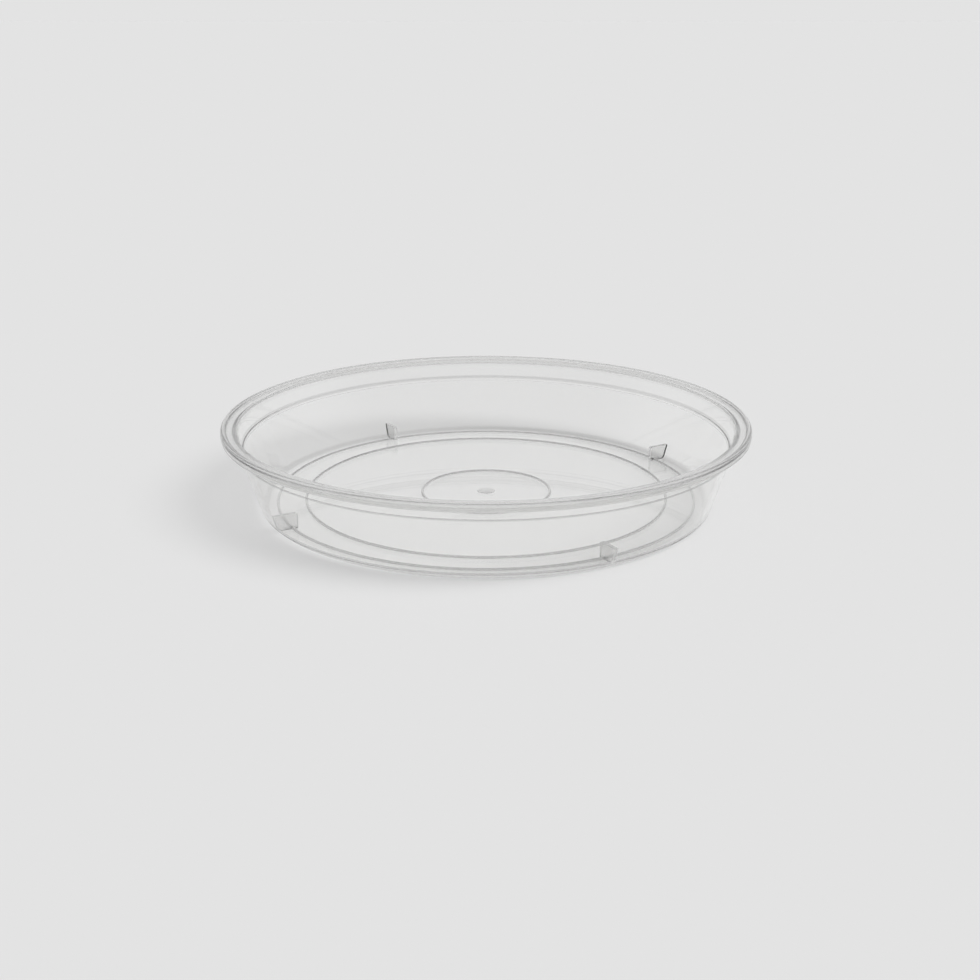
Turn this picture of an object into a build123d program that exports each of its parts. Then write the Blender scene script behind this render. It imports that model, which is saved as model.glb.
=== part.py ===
from build123d import *

import os
from math import cos, degrees, radians, sin, tan

# Clear plastic plant saucer in millimetres, +Z up.
# The origin is the middle of the flat underside, on the surface that the saucer stands on.
# Every section below is drawn in the half-plane (distance from the middle, height)
# and turned once round Z.

# Overall sizes
rim_diameter = 190.0
overall_height = 30.3
wall = 1.7  # thickness of the floor, side, collar and rim alike

# Side wall and collar, both leaning out from upright
wall_lean = 17.1
collar_height = 7.5  # from the top of the rim down to the inside step at the crease
ledge_width = 0.4  # how far the collar is set out past the side wall at the crease
heel_radius = 3.2  # outside radius where the floor turns up into the side wall

# Rim: a broad flange that rises a little outwards, with a short lip turned down
flange_width = 5.3  # from the inside edge of the collar to the outside of the lip
flange_rise = 11.5  # degrees above level
rim_corner_radius = 1.0  # outside, where the flange turns down into the lip
lip_depth = 3.2  # from the top of the rim to the lip's free end
lip_round_share = 0.3  # softened edges of the lip's free end, of the wall

# Low ribs moulded on the floor, which keep the pot off the water
rib_width = 0.75
rib_height = 0.7
rib_round_share = 0.25  # of the rib's width
centre_ring_diameter = 47.0
drain_channel_width = 10.35  # between the middles of the inner and the outer ring
outer_ring_inset = 3.4  # from the edge of the flat floor to the middle of the outer ring

# Round mark that the moulding gate leaves in the middle of the floor
gate_diameter = 6.4
gate_height = 0.2
gate_round_share = 0.5  # of the mark's height

# Stacking lugs: thin radial webs in the corner of floor and wall
lug_count = 4
lug_first_angle = 30.0
lug_thickness = 1.5
lug_height = 5.5  # above the floor
lug_overhang = 1.85  # how far a lug reaches inwards past the middle of the outer ring
lug_round_share = 0.15  # of the lug's height


def outward(lean):
    """Direction square to a face that leans out by this angle, pointing away from the middle."""
    return Vector(cos(radians(lean)), -sin(radians(lean)))


def on_slope(start, lean, height):
    """Point at this height on the line through start that leans out by this angle."""
    return Vector(start.X + tan(radians(lean)) * (height - start.Y), height)


def meeting(start, lean, other_start, other_lean):
    """Point where two lines meet that lean out by different angles."""
    slope = tan(radians(lean))
    other_slope = tan(radians(other_lean))
    gap = other_start.X - other_slope * other_start.Y - start.X + slope * start.Y
    return on_slope(start, lean, gap / (slope - other_slope))


# Section points of the rim: X is the distance from the middle, Y the height
rim_radius = rim_diameter / 2
flange_lean = 90 - flange_rise
corner_centre = Vector(rim_radius - rim_corner_radius, overall_height - rim_corner_radius)
flange_top_out = corner_centre - outward(flange_lean) * rim_corner_radius
flange_top_in = meeting(flange_top_out, flange_lean, Vector(rim_radius - flange_width, 0), 0)
flange_under = flange_top_in + outward(flange_lean) * wall
lip_top_in = meeting(flange_under, flange_lean, Vector(rim_radius - wall, 0), 0)
lip_top_out = lip_top_in - outward(flange_lean) * wall
lip_end = overall_height - lip_depth

# Collar and side wall, from the rim inwards and down
ledge_height = overall_height - collar_height
collar_foot_in = on_slope(flange_top_in, wall_lean, ledge_height)
collar_under = collar_foot_in + outward(wall_lean) * wall
collar_top_out = meeting(collar_under, wall_lean, flange_under, flange_lean)
collar_foot_out = on_slope(collar_under, wall_lean, ledge_height - wall)
ledge_in = collar_foot_in - Vector(ledge_width, 0)
ledge_out = collar_foot_out - Vector(ledge_width, 0)

# Heel and the edge of the flat floor
heel_hollow = heel_radius - wall
heel_sweep = 90 - wall_lean
foot_in = on_slope(ledge_in, wall_lean, heel_radius - heel_hollow * sin(radians(wall_lean)))
heel_centre = foot_in - outward(wall_lean) * heel_hollow
foot_out = heel_centre + outward(wall_lean) * heel_radius

flat_radius = heel_centre.X
floor_edge_top = Vector(flat_radius, wall)
floor_edge_under = Vector(flat_radius, 0)

outer_ring_radius = flat_radius - outer_ring_inset
inner_ring_radius = outer_ring_radius - drain_channel_width

finished = []


def finish(piece, label):
    """Names a finished piece and keeps it for writing."""
    piece.part.label = label
    finished.append(piece.part)


# Floor: one flat disc out to where the heel starts to curve
with BuildPart() as floor_plate:
    with BuildSketch(Plane.XY):
        Circle(flat_radius)
    extrude(amount=wall)
finish(floor_plate, "floor_plate")

# Gate mark: a thin round pad in the middle of the floor
with BuildPart() as gate_mark:
    with BuildSketch(Plane.XY.offset(wall)):
        Circle(gate_diameter / 2)
    extrude(amount=gate_height)
    fillet(gate_mark.edges().group_by(Axis.Z)[-1], gate_height * gate_round_share)
finish(gate_mark, "gate_mark")


def ring_rib(radius):
    """A low rib with a rounded top that runs round the floor at this radius."""
    with BuildPart() as rib:
        with BuildSketch(Plane.XZ) as section:
            with Locations((radius, wall + rib_height / 2)):
                Rectangle(rib_width, rib_height)
            fillet(section.vertices().group_by(Axis.Y)[-1], rib_width * rib_round_share)
        revolve(axis=Axis.Z)
    return rib


# Floor ribs: a small one near the middle, and two that bound the drain channel
centre_ring = ring_rib(centre_ring_diameter / 2)
finish(centre_ring, "centre_ring")
inner_ring = ring_rib(inner_ring_radius)
finish(inner_ring, "inner_ring")
outer_ring = ring_rib(outer_ring_radius)
finish(outer_ring, "outer_ring")

# Base corner: the curved heel that turns the floor up into the side wall
with BuildPart() as base_corner:
    with BuildSketch(Plane.XZ):
        with BuildLine():
            CenterArc(heel_centre, heel_radius, -90, heel_sweep)
            Line(foot_out, foot_in)
            CenterArc(heel_centre, heel_hollow, -90, heel_sweep)
            Line(floor_edge_top, floor_edge_under)
        make_face()
    revolve(axis=Axis.Z)
finish(base_corner, "base_corner")

# Side wall: the straight cone between the heel and the ledge
with BuildPart() as side_wall:
    with BuildSketch(Plane.XZ):
        with BuildLine():
            Polyline(foot_in, ledge_in, ledge_out, foot_out, close=True)
        make_face()
    revolve(axis=Axis.Z)
finish(side_wall, "side_wall")

# Collar: steps out at the ledge and runs on beside the line of the side wall
with BuildPart() as collar:
    with BuildSketch(Plane.XZ):
        with BuildLine():
            Polyline(
                ledge_in, collar_foot_in, flange_top_in, collar_top_out, collar_foot_out, ledge_out, close=True
            )
        make_face()
    revolve(axis=Axis.Z)
finish(collar, "collar")

# Rim flange: the broad brim round the top of the collar
with BuildPart() as rim_flange:
    with BuildSketch(Plane.XZ):
        with BuildLine():
            Polyline(flange_top_in, lip_top_out, lip_top_in, collar_top_out, close=True)
        make_face()
    revolve(axis=Axis.Z)
finish(rim_flange, "rim_flange")

# Rim lip: turns over the outer corner and down, open underneath
with BuildPart() as rim_lip:
    with BuildSketch(Plane.XZ) as lip_section:
        with BuildLine():
            corner_curve = CenterArc(corner_centre, rim_corner_radius, 0, 90 + flange_rise)
            Polyline(
                corner_curve @ 1, lip_top_out, lip_top_in, (rim_radius - wall, lip_end), (rim_radius, lip_end),
                corner_curve @ 0,
            )
        make_face()
        fillet(lip_section.vertices().group_by(Axis.Y)[0], wall * lip_round_share)
    revolve(axis=Axis.Z)
finish(rim_lip, "rim_lip")

# Stacking lugs: the next saucer in a stack stands on their tops
lug_inner_radius = outer_ring_radius - lug_overhang
lug_top = wall + lug_height
lug_top_out = on_slope(foot_in, wall_lean, lug_top)
lug_sweep = degrees(lug_thickness / ((lug_inner_radius + lug_top_out.X) / 2))

for number in range(lug_count):
    angle = radians(lug_first_angle + number * 360 / lug_count - lug_sweep / 2)
    lug_plane = Plane(
        origin=(0, 0, 0),
        x_dir=(cos(angle), sin(angle), 0),
        z_dir=(sin(angle), -cos(angle), 0),
    )
    with BuildPart() as stacking_lug:
        with BuildSketch(lug_plane) as lug_section:
            with BuildLine():
                Line((lug_inner_radius, wall), floor_edge_top)
                CenterArc(heel_centre, heel_hollow, -90, heel_sweep)
                Polyline(foot_in, lug_top_out, (lug_inner_radius, lug_top), (lug_inner_radius, wall))
            make_face()
            inner_top_corner = lug_section.vertices().group_by(Axis.Y)[-1].sort_by(Axis.X)[0]
            fillet(inner_top_corner, lug_height * lug_round_share)
        revolve(axis=Axis.Z, revolution_arc=lug_sweep)
        add(outer_ring.part, mode=Mode.SUBTRACT)
    finish(stacking_lug, f"stacking_lug_{number + 1}")

os.makedirs("parts", exist_ok=True)
for part in finished:
    export_step(part, f"parts/{part.label}.step")
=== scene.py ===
from math import cos, radians, sin, tan, tau

import bmesh
import bpy
from mathutils import Matrix, Vector


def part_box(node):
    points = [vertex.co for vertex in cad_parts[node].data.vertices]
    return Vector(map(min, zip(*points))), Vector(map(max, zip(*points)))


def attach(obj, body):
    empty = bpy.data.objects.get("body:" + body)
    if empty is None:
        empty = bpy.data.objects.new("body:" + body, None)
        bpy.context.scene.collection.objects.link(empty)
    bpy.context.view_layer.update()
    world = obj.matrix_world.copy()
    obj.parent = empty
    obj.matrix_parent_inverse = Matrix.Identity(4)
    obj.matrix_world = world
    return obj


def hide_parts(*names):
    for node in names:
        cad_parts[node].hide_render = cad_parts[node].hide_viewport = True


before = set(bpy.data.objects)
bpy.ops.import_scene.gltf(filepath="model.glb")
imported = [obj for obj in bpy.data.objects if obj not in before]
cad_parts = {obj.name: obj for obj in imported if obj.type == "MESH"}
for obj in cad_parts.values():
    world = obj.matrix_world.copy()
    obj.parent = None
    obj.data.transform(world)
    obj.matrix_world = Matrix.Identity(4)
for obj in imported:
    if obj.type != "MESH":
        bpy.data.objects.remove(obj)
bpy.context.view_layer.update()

MM = 0.001

# Sizes of the moulding that the frame holds
RIM_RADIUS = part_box("rim_lip")[1].x
RIM_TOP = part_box("rim_lip")[1].z
LIP_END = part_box("rim_lip")[0].z
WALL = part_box("floor_plate")[1].z
FLAT_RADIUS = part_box("floor_plate")[1].x
LEDGE_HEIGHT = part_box("side_wall")[1].z
GATE_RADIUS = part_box("gate_mark")[1].x
GATE_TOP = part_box("gate_mark")[1].z
RIB_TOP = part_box("inner_ring")[1].z
RIB_OUTER_RADII = [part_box(ring)[1].x for ring in ("centre_ring", "inner_ring", "outer_ring")]
LUG_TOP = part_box("stacking_lug_1")[1].z

# Sizes that follow the solids' own values
WALL_LEAN = radians(17.1)
LEDGE_WIDTH = 0.4 * MM
HEEL_RADIUS = 3.2 * MM
FLANGE_WIDTH = 5.3 * MM
FLANGE_LEAN = radians(90 - 11.5)
RIM_CORNER_RADIUS = 1.0 * MM
RIB_WIDTH = 0.75 * MM
LUG_ANGLES = [radians(angle) for angle in (30, 120, 210, 300)]
LUG_THICKNESS = 1.5 * MM
LUG_INNER_RADIUS = 74.41 * MM
LUG_CORNER_ROUND = 0.8 * MM

# Small roundings that the mould leaves
RIB_TOP_ROUND = 0.19 * MM
RIB_FOOT_ROUND = 0.1 * MM
GATE_ROUND = 0.12 * MM
LEDGE_SOFTENING = 0.1 * MM
FLANGE_FOOT_ROUND = 0.3 * MM
LIP_ROUND = 0.5 * MM
LUG_EDGE_ROUND = 0.12 * MM

# How finely the mesh follows the curves
TURN_STEPS = 640
ROUND_STEPS = 3
RIM_CORNER_STEPS = 16
HEEL_INSIDE_STEPS = 10
HEEL_OUTSIDE_STEPS = 12
LUG_FOOT_STEPS = 6
MERGE_DISTANCE = 0.0005 * MM
SHARP_ANGLE = radians(35)


class Outline:
    """A line drawn in the XZ plane, one stretch after another, ready to be turned or thickened."""

    def __init__(self, radius, height):
        self.bm = bmesh.new()
        self.tip = self.bm.verts.new((radius, 0, height))
        self.corners = {}

    def line(self, radius, height, rounding=0):
        """Draws a straight stretch. The corner at its end is rounded later by this much."""
        self.tip = bmesh.ops.extrude_vert_indiv(self.bm, verts=[self.tip])["verts"][0]
        self.tip.co = (radius, 0, height)
        if rounding:
            self.corners.setdefault(rounding, []).append(self.tip)

    def arc(self, centre, sweep, steps):
        """Draws an arc round a centre. A positive sweep runs from the outward direction up."""
        turned = bmesh.ops.spin(
            self.bm, geom=[self.tip], cent=(centre[0], 0, centre[1]), axis=(0, -1, 0),
            angle=sweep, steps=steps,
        )
        self.tip = next(end for end in turned["geom_last"] if isinstance(end, bmesh.types.BMVert))

    def round_corners(self):
        """Rounds the corners that were marked, once the whole outline is drawn."""
        for rounding, corners in self.corners.items():
            bmesh.ops.bevel(
                self.bm, geom=corners, offset=rounding, offset_type="OFFSET", segments=ROUND_STEPS,
                profile=0.5, affect="VERTICES", material=-1,
            )


def tidy_mesh(bm, name):
    """Merges doubles, turns faces outwards and hands back a smooth mesh."""
    bmesh.ops.remove_doubles(bm, verts=bm.verts, dist=MERGE_DISTANCE)
    bmesh.ops.recalc_face_normals(bm, faces=bm.faces)
    for face in bm.faces:
        face.smooth = True
    mesh = bpy.data.meshes.new(name)
    bm.to_mesh(mesh)
    bm.free()
    mesh.set_sharp_from_angle(angle=SHARP_ANGLE)
    return mesh


def add_object(name, mesh):
    piece = bpy.data.objects.new(name, mesh)
    bpy.context.scene.collection.objects.link(piece)
    return piece


def outward(lean):
    """Direction square to a wall that leans out by this angle: distance from the middle, then height."""
    return Vector((cos(lean), -sin(lean)))


def on_slope(start, lean, height):
    """Point at this height on the line through start that leans out by this angle."""
    return Vector((start.x + tan(lean) * (height - start.y), height))


def meeting(start, lean, other_start, other_lean):
    """Point where two lines meet that lean out by different angles."""
    gap = other_start.x - tan(other_lean) * other_start.y - start.x + tan(lean) * start.y
    return on_slope(start, lean, gap / (tan(lean) - tan(other_lean)))


# Points of the section: distance from the middle, then height
corner_centre = Vector((RIM_RADIUS - RIM_CORNER_RADIUS, RIM_TOP - RIM_CORNER_RADIUS))
flange_top_out = corner_centre - outward(FLANGE_LEAN) * RIM_CORNER_RADIUS
flange_top_in = meeting(flange_top_out, FLANGE_LEAN, Vector((RIM_RADIUS - FLANGE_WIDTH, 0)), 0)
flange_under = flange_top_in + outward(FLANGE_LEAN) * WALL
lip_top_in = meeting(flange_under, FLANGE_LEAN, Vector((RIM_RADIUS - WALL, 0)), 0)
collar_foot_in = on_slope(flange_top_in, WALL_LEAN, LEDGE_HEIGHT)
collar_under = collar_foot_in + outward(WALL_LEAN) * WALL
collar_top_out = meeting(collar_under, WALL_LEAN, flange_under, FLANGE_LEAN)
collar_foot_out = on_slope(collar_under, WALL_LEAN, LEDGE_HEIGHT - WALL)
ledge = Vector((LEDGE_WIDTH, 0))
ledge_in = collar_foot_in - ledge
heel_centre = Vector((FLAT_RADIUS, HEEL_RADIUS))
heel_sweep = radians(90) - WALL_LEAN
foot_out = heel_centre + outward(WALL_LEAN) * HEEL_RADIUS


def saucer_shell():
    """The whole moulding without its lugs, as one closed skin turned from its section."""
    section = Outline(0, GATE_TOP)
    section.line(GATE_RADIUS, GATE_TOP, GATE_ROUND)
    section.line(GATE_RADIUS, WALL)
    for rib_outer in RIB_OUTER_RADII:
        rib_inner = rib_outer - RIB_WIDTH
        section.line(rib_inner, WALL, RIB_FOOT_ROUND)
        section.line(rib_inner, RIB_TOP, RIB_TOP_ROUND)
        section.line(rib_outer, RIB_TOP, RIB_TOP_ROUND)
        section.line(rib_outer, WALL, RIB_FOOT_ROUND)
    section.line(FLAT_RADIUS, WALL)
    section.arc(heel_centre, heel_sweep, HEEL_INSIDE_STEPS)
    section.line(*ledge_in, LEDGE_SOFTENING)
    section.line(*collar_foot_in, LEDGE_SOFTENING)
    section.line(*flange_top_in, FLANGE_FOOT_ROUND)
    section.line(*flange_top_out)
    section.arc(corner_centre, FLANGE_LEAN - radians(180), RIM_CORNER_STEPS)
    section.line(RIM_RADIUS, LIP_END, LIP_ROUND)
    section.line(RIM_RADIUS - WALL, LIP_END, LIP_ROUND)
    section.line(*lip_top_in, FLANGE_FOOT_ROUND)
    section.line(*collar_top_out, FLANGE_FOOT_ROUND)
    section.line(*collar_foot_out, LEDGE_SOFTENING)
    section.line(*(collar_foot_out - ledge), LEDGE_SOFTENING)
    section.line(*foot_out)
    section.arc(heel_centre, -heel_sweep, HEEL_OUTSIDE_STEPS)
    section.line(0, 0)
    section.round_corners()
    bm = section.bm
    bmesh.ops.spin(
        bm, geom=bm.verts[:] + bm.edges[:], cent=(0, 0, 0), axis=(0, 0, 1),
        angle=tau, steps=TURN_STEPS, use_merge=True,
    )
    return tidy_mesh(bm, "saucer")


def lug(angle):
    """One thin web, which reaches into the middle of the floor and wall so that the moulding is whole."""
    section = Outline(LUG_INNER_RADIUS, WALL / 2)
    section.line(FLAT_RADIUS, WALL / 2)
    section.arc(heel_centre, heel_sweep, LUG_FOOT_STEPS)
    wall_middle = heel_centre + outward(WALL_LEAN) * (HEEL_RADIUS - WALL / 2)
    section.line(*on_slope(wall_middle, WALL_LEAN, LUG_TOP))
    section.line(LUG_INNER_RADIUS, LUG_TOP, LUG_CORNER_ROUND)
    section.line(LUG_INNER_RADIUS, WALL / 2)
    section.round_corners()
    bm = section.bm
    bmesh.ops.remove_doubles(bm, verts=bm.verts, dist=MERGE_DISTANCE)
    side = bmesh.ops.contextual_create(bm, geom=bm.edges[:])["faces"]
    bmesh.ops.translate(bm, verts=bm.verts[:], vec=(0, -LUG_THICKNESS / 2, 0))
    thick = bmesh.ops.extrude_face_region(bm, geom=side)["geom"]
    far_side = [corner for corner in thick if isinstance(corner, bmesh.types.BMVert)]
    bmesh.ops.translate(bm, verts=far_side, vec=(0, LUG_THICKNESS, 0))
    bmesh.ops.recalc_face_normals(bm, faces=bm.faces)
    side_edges = [
        edge for edge in bm.edges if abs(edge.verts[0].co.y - edge.verts[1].co.y) < MERGE_DISTANCE
    ]
    bmesh.ops.bevel(
        bm, geom=side_edges, offset=LUG_EDGE_ROUND, offset_type="OFFSET", segments=ROUND_STEPS,
        profile=0.5, affect="EDGES", material=-1,
    )
    bmesh.ops.rotate(bm, verts=bm.verts[:], cent=(0, 0, 0), matrix=Matrix.Rotation(angle, 3, "Z"))
    return tidy_mesh(bm, "lug")


def join_lugs(saucer):
    """Unites the lugs with the shell, so that no inner faces stay where they meet."""
    for angle in LUG_ANGLES:
        web = add_object("lug", lug(angle))
        union = saucer.modifiers.new("union", "BOOLEAN")
        union.operation = "UNION"
        union.solver = "EXACT"
        union.object = web
        bpy.context.view_layer.update()
        evaluated = saucer.evaluated_get(bpy.context.evaluated_depsgraph_get())
        saucer.data = bpy.data.meshes.new_from_object(evaluated)
        saucer.modifiers.clear()
        bpy.data.objects.remove(web)
    saucer.data.set_sharp_from_angle(angle=SHARP_ANGLE)


def keep_flats_flat(piece):
    """Lets the large faces set the shading beside a small rounding, as clear plastic shows every tilt."""
    weighted = piece.modifiers.new("weighted_normals", "WEIGHTED_NORMAL")
    weighted.mode = "FACE_AREA"
    weighted.keep_sharp = True


class Number:
    """A socket that carries a number, so that sums of sockets can be written as expressions."""

    def __init__(self, shader, socket):
        self.shader = shader
        self.socket = socket

    def __add__(self, other):
        return self.shader.maths("ADD", self, other)

    def __sub__(self, other):
        return self.shader.maths("SUBTRACT", self, other)

    def __rsub__(self, other):
        return self.shader.maths("SUBTRACT", other, self)

    def __mul__(self, other):
        return self.shader.maths("MULTIPLY", self, other)

    __radd__ = __add__
    __rmul__ = __mul__


class Shader:
    """The nodes of one material or of the world."""

    def __init__(self, owner):
        owner.use_nodes = True
        self.tree = owner.node_tree
        self.tree.nodes.clear()

    def node(self, kind, settings=None, values=None):
        """Adds a node, with its settings first and then the values or links of its sockets."""
        made = self.tree.nodes.new(kind)
        for name, value in (settings or {}).items():
            if name == "stops":
                self.set_stops(made.color_ramp, value)
            else:
                setattr(made, name, value)
        for name, value in (values or {}).items():
            if isinstance(value, Number):
                value = value.socket
            if isinstance(value, bpy.types.NodeSocket):
                self.tree.links.new(value, made.inputs[name])
            else:
                made.inputs[name].default_value = value
        return made

    def set_stops(self, ramp, stops):
        """Gives a colour ramp its stops, each a place and the grey there."""
        while len(ramp.elements) < len(stops):
            ramp.elements.new(0.5)
        for element, (place, grey) in zip(ramp.elements, stops):
            element.position = place
            element.color = (grey, grey, grey, 1)

    def number(self, kind, output, settings=None, values=None):
        return Number(self, self.node(kind, settings, values).outputs[output])

    def maths(self, operation, first, second):
        return self.number("ShaderNodeMath", 0, {"operation": operation}, {0: first, 1: second})

    def rise(self, value, start, end):
        """Nought up to start and one from end on, with a soft passage between."""
        return self.number("ShaderNodeMapRange", "Result", {"interpolation_type": "SMOOTHSTEP"}, {
            "Value": value, "From Min": start, "From Max": end,
        })

    def surface(self, shader_node, output="ShaderNodeOutputMaterial"):
        self.node(output, None, {"Surface": shader_node.outputs[0]})


# Painted shade: shares of the way to the grey below, standing in for the dark lines and bands that bent
# light draws on the rim, lip, heel, crease, gate, ribs and lugs
CLEAR_COLOUR = (0.994, 0.994, 0.989, 1)
# Grey that the painted shade goes towards
PAINTED_SHADE_COLOUR = (0.5, 0.5, 0.498, 1)
RIM_PAINTED_SHADE = 0.06
LIP_PAINTED_SHADE = 0.3
HEEL_PAINTED_SHADE = 0.45
CREASE_PAINTED_SHADE = 0.6
GATE_PAINTED_SHADE = 0.6
RIB_PAINTED_SHADE = 0.8
LUG_PAINTED_SHADE = 0.22

# Soft edges of the zones, each from one height to another
FLOOR_EDGE = (WALL, WALL + 0.15 * MM)
RIB_TOP_EDGE = (RIB_TOP, RIB_TOP + 0.3 * MM)
WALL_FOOT_EDGE = (WALL, HEEL_RADIUS)
CREASE_FOOT_EDGE = (LEDGE_HEIGHT - 0.65 * MM, LEDGE_HEIGHT - 0.2 * MM)
CREASE_TOP_EDGE = (LEDGE_HEIGHT, LEDGE_HEIGHT + 0.45 * MM)
RIM_FOOT_EDGE = (LIP_END - 0.2 * MM, LIP_END + 0.3 * MM)

# Soft edges of the zones, each from one distance from the middle to another
GATE_EDGE = (GATE_RADIUS, GATE_RADIUS + MM)
FLAT_EDGE = (FLAT_RADIUS - MM, FLAT_RADIUS)
HEEL_EDGE = (FLAT_RADIUS - 0.2 * MM, FLAT_RADIUS + 0.4 * MM)
LIP_EDGE = (RIM_RADIUS - WALL - 0.4 * MM, RIM_RADIUS - WALL)

# The inner face of the wall, drawn on downwards, meets the ground at this distance from the middle
wall_line = ledge_in.x - tan(WALL_LEAN) * ledge_in.y
WALL_FACE_EDGE = (wall_line - 0.3 * MM, wall_line - 0.1 * MM)

# The plastic itself, and how much rougher than its polished walls the rim and the lugs are
REFRACTIVE_INDEX = 1.49
HAZE_SCALE = 60.0
HAZE_DETAIL = 4.0
HAZE_ROUGHNESS = 0.03
RIM_ROUGHNESS = 0.13
LUG_ROUGHNESS = 0.2
RIPPLE_SCALE = 45.0
RIPPLE_DETAIL = 1.0
RIPPLE_STRENGTH = 0.05
RIPPLE_DEPTH = 0.2 * MM

# Share of the light that each face of the plastic throws back, and so keeps off the floor
MIRRORED_BY_FLOOR = 0.008
MIRRORED_BY_WALL = 0.09
MIRRORED_SLANTING = 0.35
SLANT_BLEND = 0.5
SLANT_POWER = 4.0

# Tint of the light that goes straight on through a face
PASSING_COLOUR = (0.985, 0.985, 0.985, 1)


class Zones:
    """Masks for zones of the moulding, from the place on it: where shade is painted, where it is rougher,
    and where the wall keeps light back.
    """

    def __init__(self, shader, place):
        level = shader.node("ShaderNodeVectorMath", {"operation": "MULTIPLY"}, {0: place, 1: (1, 1, 0)})
        distance = shader.node("ShaderNodeVectorMath", {"operation": "LENGTH"}, {0: level.outputs[0]})
        radius = Number(shader, distance.outputs["Value"])
        height = shader.number("ShaderNodeSeparateXYZ", "Z", None, {"Vector": place})
        from_wall_line = radius - tan(WALL_LEAN) * height
        above_ribs = shader.rise(height, *RIB_TOP_EDGE)
        on_floor = shader.rise(height, *FLOOR_EDGE) * (1 - above_ribs)
        past_gate = shader.rise(radius, *GATE_EDGE)
        self.wall = shader.rise(height, *WALL_FOOT_EDGE)
        self.rim = shader.rise(height, *RIM_FOOT_EDGE)
        self.lip = self.rim * shader.rise(radius, *LIP_EDGE)
        self.heel = shader.rise(radius, *HEEL_EDGE) * (1 - self.wall)
        self.crease = (1 - shader.rise(height, *CREASE_TOP_EDGE)) * shader.rise(height, *CREASE_FOOT_EDGE)
        self.ribs = on_floor * (past_gate * (1 - shader.rise(radius, *FLAT_EDGE)))
        self.gate = on_floor * (1 - past_gate)
        self.lugs = above_ribs * (1 - shader.rise(from_wall_line, *WALL_FACE_EDGE))

    # Painted shade: how far each place is greyed, standing in for the dark lines of bent light
    def painted_shade(self):
        return (
            RIM_PAINTED_SHADE * self.rim + LIP_PAINTED_SHADE * self.lip + HEEL_PAINTED_SHADE * self.heel
            + CREASE_PAINTED_SHADE * self.crease + GATE_PAINTED_SHADE * self.gate
            + RIB_PAINTED_SHADE * self.ribs + LUG_PAINTED_SHADE * self.lugs
        )


def clear_plastic():
    """Colourless moulded plastic, with a slight haze and a faint ripple from the mould, and painted shade
    greying its rim, heel, crease, gate, ribs and lugs.
    """
    material = bpy.data.materials.new("clear_plastic")
    shader = Shader(material)
    place = shader.node("ShaderNodeTexCoord").outputs["Object"]
    haze = shader.number("ShaderNodeTexNoise", "Fac", None, {
        "Vector": place, "Scale": HAZE_SCALE, "Detail": HAZE_DETAIL,
    })
    ripple = shader.number("ShaderNodeTexNoise", "Fac", None, {
        "Vector": place, "Scale": RIPPLE_SCALE, "Detail": RIPPLE_DETAIL,
    })
    bump = shader.node("ShaderNodeBump", None, {
        "Height": ripple, "Strength": RIPPLE_STRENGTH, "Distance": RIPPLE_DEPTH,
    })
    zones = Zones(shader, place)
    # Painted shade: the base colour greys in the zones where bent light draws dark lines
    tint = shader.node("ShaderNodeMix", {"data_type": "RGBA"}, {
        0: zones.painted_shade(), 6: CLEAR_COLOUR, 7: PAINTED_SHADE_COLOUR,
    })
    plastic = shader.node("ShaderNodeBsdfPrincipled", None, {
        "Base Color": tint.outputs[2],
        "Roughness": haze * HAZE_ROUGHNESS + RIM_ROUGHNESS * zones.rim + LUG_ROUGHNESS * zones.lugs,
        "IOR": REFRACTIVE_INDEX,
        "Transmission Weight": 1.0,
        "Normal": bump.outputs["Normal"],
    })
    passing = shader.node("ShaderNodeBsdfTransparent", None, {"Color": PASSING_COLOUR})
    path = shader.node("ShaderNodeLightPath").outputs
    slant = shader.number("ShaderNodeLayerWeight", "Facing", None, {"Blend": SLANT_BLEND})
    square_on = MIRRORED_BY_FLOOR + MIRRORED_BY_WALL * zones.wall
    blocked = square_on + MIRRORED_SLANTING * shader.maths("POWER", slant, SLANT_POWER)
    lets_through = shader.maths("MAXIMUM", path["Is Shadow Ray"], path["Is Diffuse Ray"]) * (1 - blocked)
    shader.surface(shader.node("ShaderNodeMixShader", None, {
        0: lets_through, 1: plastic.outputs[0], 2: passing.outputs[0],
    }))
    return material


saucer = add_object("saucer", saucer_shell())
join_lugs(saucer)
keep_flats_flat(saucer)
saucer.data.materials.clear()
saucer.data.materials.append(clear_plastic())
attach(saucer, "root")
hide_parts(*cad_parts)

# Studio
BACKGROUND_GREY = 0.768
PAPER_COLOUR = (0.788, 0.788, 0.788, 1)
PAPER_ROUGHNESS = 0.9
FLOOR_GAP = 0.05 * MM
FLOOR_HALF_SIZE = 30.0
WORLD_LIGHT = 0.3
WHITE = (1, 1, 1, 1)
KEY_STRENGTH = 2.753
KEY_FROM = Vector((0.75, -0.35, 1.0))
KEY_SOFTNESS = radians(35)

# Greys that the plastic mirrors and bends, from the horizon up: the dim near side and the paper's far side
NEAR_SIDE = ((0.0, 0.25), (0.34, 0.36), (0.64, 0.56), (1.0, 0.74))
FAR_SIDE = ((0.0, 0.75), (0.42, 0.75), (1.0, 0.74))

# Soft change from the near side to the far one, as shares of the way out from the middle
NEAR_TO_FAR = (-0.6, 0.2)


def studio_floor():
    bm = bmesh.new()
    bmesh.ops.create_grid(bm, x_segments=1, y_segments=1, size=FLOOR_HALF_SIZE)
    bmesh.ops.translate(bm, verts=bm.verts[:], vec=(0, 0, -FLOOR_GAP))
    floor = add_object("floor", tidy_mesh(bm, "floor"))
    material = bpy.data.materials.new("paper")
    shader = Shader(material)
    shader.surface(shader.node("ShaderNodeBsdfPrincipled", None, {
        "Base Color": PAPER_COLOUR, "Roughness": PAPER_ROUGHNESS, "Specular IOR Level": 0.0,
    }))
    floor.data.materials.append(material)
    return floor


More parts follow.
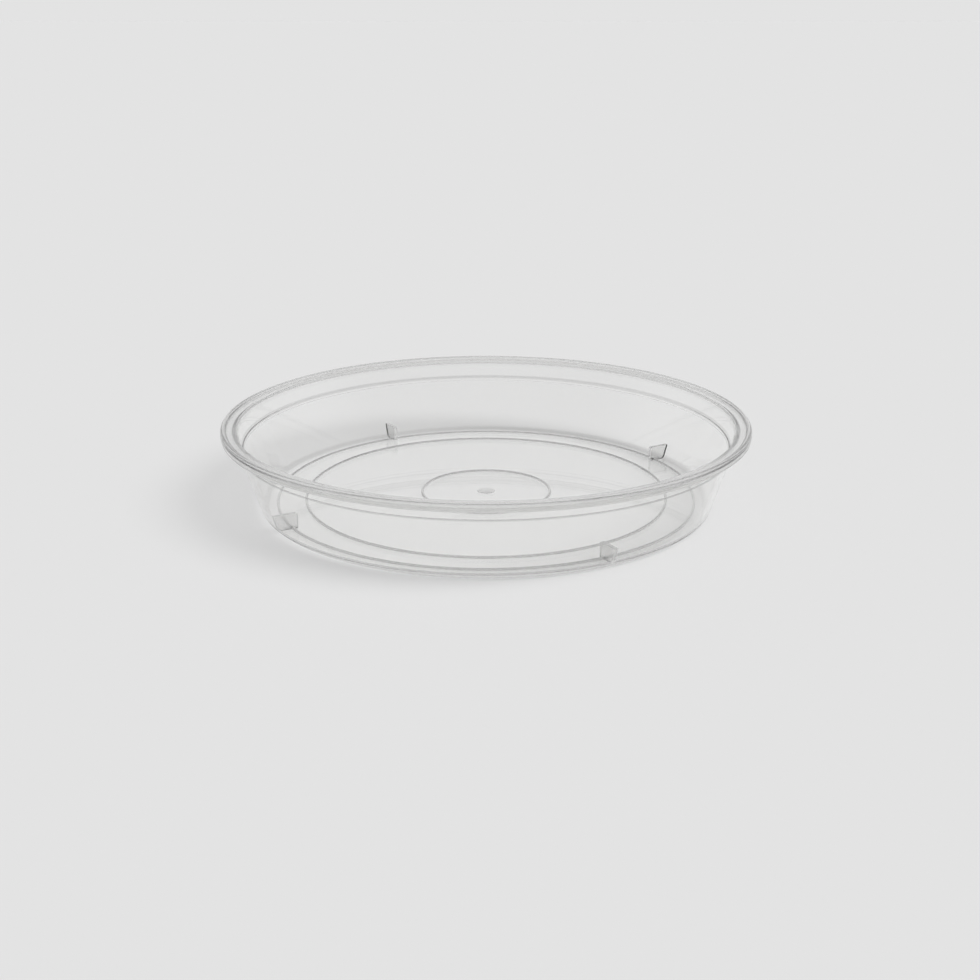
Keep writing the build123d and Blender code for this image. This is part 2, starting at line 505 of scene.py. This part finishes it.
def studio_world():
    """Even light for the floor, the paper's own grey for the camera, and a soft dark-to-light
    sweep that the plastic mirrors and bends."""
    world = bpy.data.worlds.new("studio")
    bpy.context.scene.world = world
    shader = Shader(world)
    direction = shader.node("ShaderNodeTexCoord").outputs["Generated"]
    parts = shader.node("ShaderNodeSeparateXYZ", None, {"Vector": direction}).outputs
    near = shader.node("ShaderNodeValToRGB", {"stops": NEAR_SIDE}, {"Fac": parts["Z"]})
    far = shader.node("ShaderNodeValToRGB", {"stops": FAR_SIDE}, {"Fac": parts["Z"]})
    sweep = shader.node("ShaderNodeMix", {"data_type": "RGBA"}, {
        0: shader.rise(parts["Y"], *NEAR_TO_FAR), 6: near.outputs[0], 7: far.outputs[0],
    })
    even = shader.node("ShaderNodeBackground", None, {"Color": WHITE, "Strength": WORLD_LIGHT})
    seen = shader.node("ShaderNodeBackground", None, {"Color": WHITE, "Strength": BACKGROUND_GREY})
    mirrored = shader.node("ShaderNodeBackground", None, {"Color": sweep.outputs[2]})
    path = shader.node("ShaderNodeLightPath").outputs
    bent = shader.maths("MAXIMUM", path["Is Glossy Ray"], path["Is Transmission Ray"])
    lit = shader.node("ShaderNodeMixShader", None, {0: bent, 1: even.outputs[0], 2: mirrored.outputs[0]})
    shown = shader.node("ShaderNodeMixShader", None, {
        0: path["Is Camera Ray"], 1: lit.outputs[0], 2: seen.outputs[0],
    })
    shader.surface(shown, "ShaderNodeOutputWorld")


def key_light():
    """One broad, soft lamp, high on the right in front, which the plastic doesn't mirror."""
    lamp = bpy.data.lights.new("key", "SUN")
    lamp.angle = KEY_SOFTNESS
    lamp.energy = KEY_STRENGTH
    key = bpy.data.objects.new("key", lamp)
    key.location = KEY_FROM
    key.rotation_euler = (-KEY_FROM).to_track_quat("-Z", "Y").to_euler()
    key.visible_glossy = False
    key.visible_transmission = False
    bpy.context.scene.collection.objects.link(key)


studio_floor()
studio_world()
key_light()

# Camera, fitted to the ellipses of the rim, the crease and the ribs in the photograph
PICTURE_PIXELS = 980
FOCAL_PIXELS = 1394.0
MIDDLE_PIXEL = (486.1, 490.9)
CAMERA_DISTANCE = 0.51487
CAMERA_TILT = radians(18.94)
AIM_HEIGHT = 0.0017
SENSOR = 36.0

camera_data = bpy.data.cameras.new("camera")
camera_data.sensor_width = SENSOR
camera_data.lens = FOCAL_PIXELS / PICTURE_PIXELS * SENSOR
camera_data.shift_x = (PICTURE_PIXELS / 2 - MIDDLE_PIXEL[0]) / PICTURE_PIXELS
camera_data.shift_y = (MIDDLE_PIXEL[1] - PICTURE_PIXELS / 2) / PICTURE_PIXELS
camera = bpy.data.objects.new("camera", camera_data)
camera.location = (
    0, -CAMERA_DISTANCE * cos(CAMERA_TILT), CAMERA_DISTANCE * sin(CAMERA_TILT) + AIM_HEIGHT,
)
camera.rotation_euler = (radians(90) - CAMERA_TILT, 0, 0)
bpy.context.scene.collection.objects.link(camera)
bpy.context.scene.camera = camera

# Clear plastic needs many bounces, as a sight line crosses several of its faces and is mirrored inside
BOUNCES = 48
TRANSPARENT_BOUNCES = 32

cycles = bpy.context.scene.cycles
cycles.max_bounces = BOUNCES
cycles.transmission_bounces = BOUNCES
cycles.glossy_bounces = BOUNCES
cycles.transparent_max_bounces = TRANSPARENT_BOUNCES
cycles.use_denoising = True
bpy.context.scene.view_settings.view_transform = "Standard"
